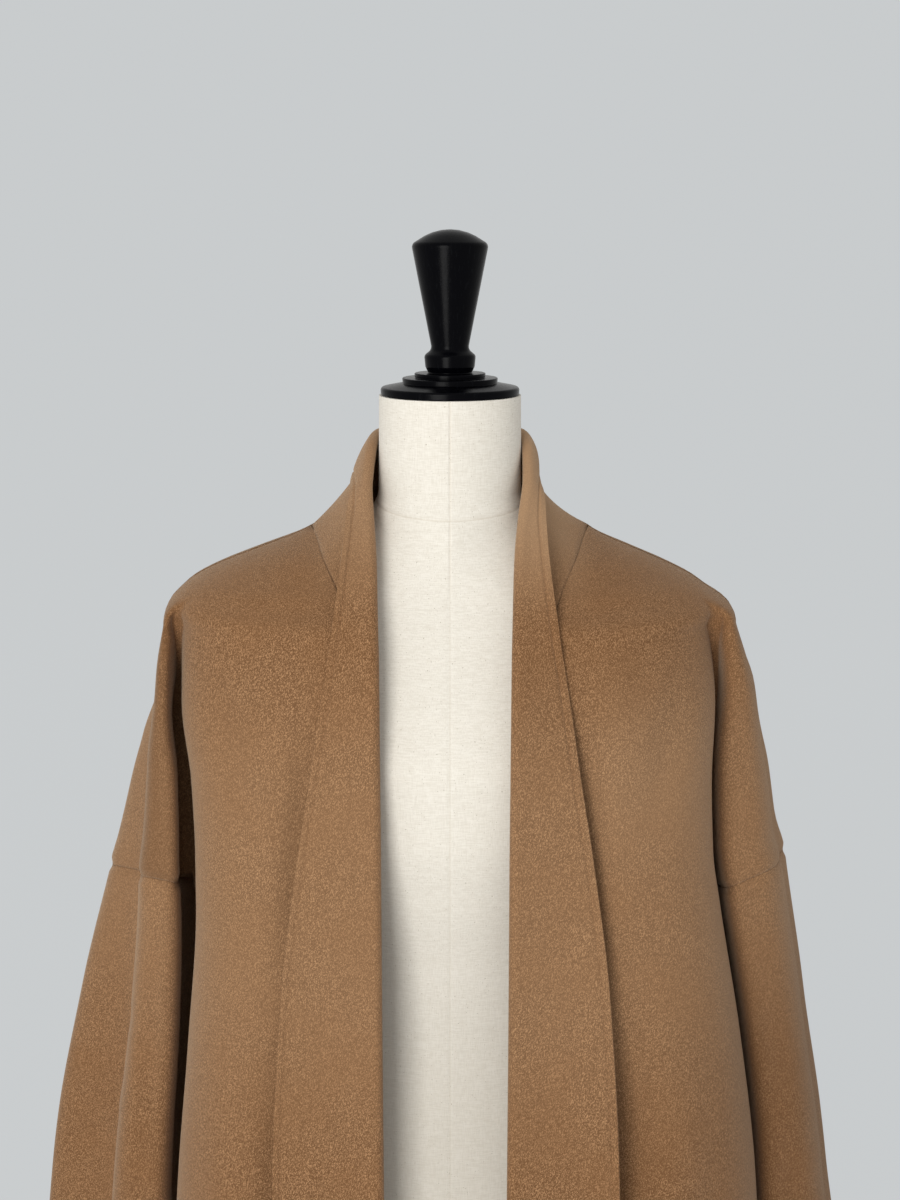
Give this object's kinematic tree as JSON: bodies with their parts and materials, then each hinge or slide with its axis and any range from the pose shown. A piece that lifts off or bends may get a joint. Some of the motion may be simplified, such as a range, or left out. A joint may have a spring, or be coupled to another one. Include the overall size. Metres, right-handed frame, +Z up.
{
  "type": "wool coat on a dress form",
  "caption": "Long open wool coat with a rolled shawl collar, dropped shoulders and empty hanging sleeves, worn by a limbless linen dress form with a turned neck cap and a round stand.",
  "frame": {"origin": "on the floor under the dress form's neck axis, at the middle of the base's flat underside", "axes": "+Z up, -Y towards the front of the coat, +X towards the viewer's right in the front view"},
  "size_m": [0.7205, 0.3646, 1.605],
  "materials": {
    "camel_wool": "brushed matte nap with a soft sheen",
    "natural_linen": "plain weave, matte",
    "black_lacquered_wood": "gloss lacquer",
    "black_painted_steel": "satin paint"
  },
  "bodies": {
    "root": {"front_left": "camel_wool", "front_right": "camel_wool", "back": "camel_wool", "sleeve_left": "camel_wool", "sleeve_right": "camel_wool", "collar_left": "camel_wool", "collar_right": "camel_wool", "form_torso": "natural_linen", "neck_cap": "black_lacquered_wood", "stand_pole": "black_painted_steel", "stand_base": "black_painted_steel"}
  },
  "joints": []
}
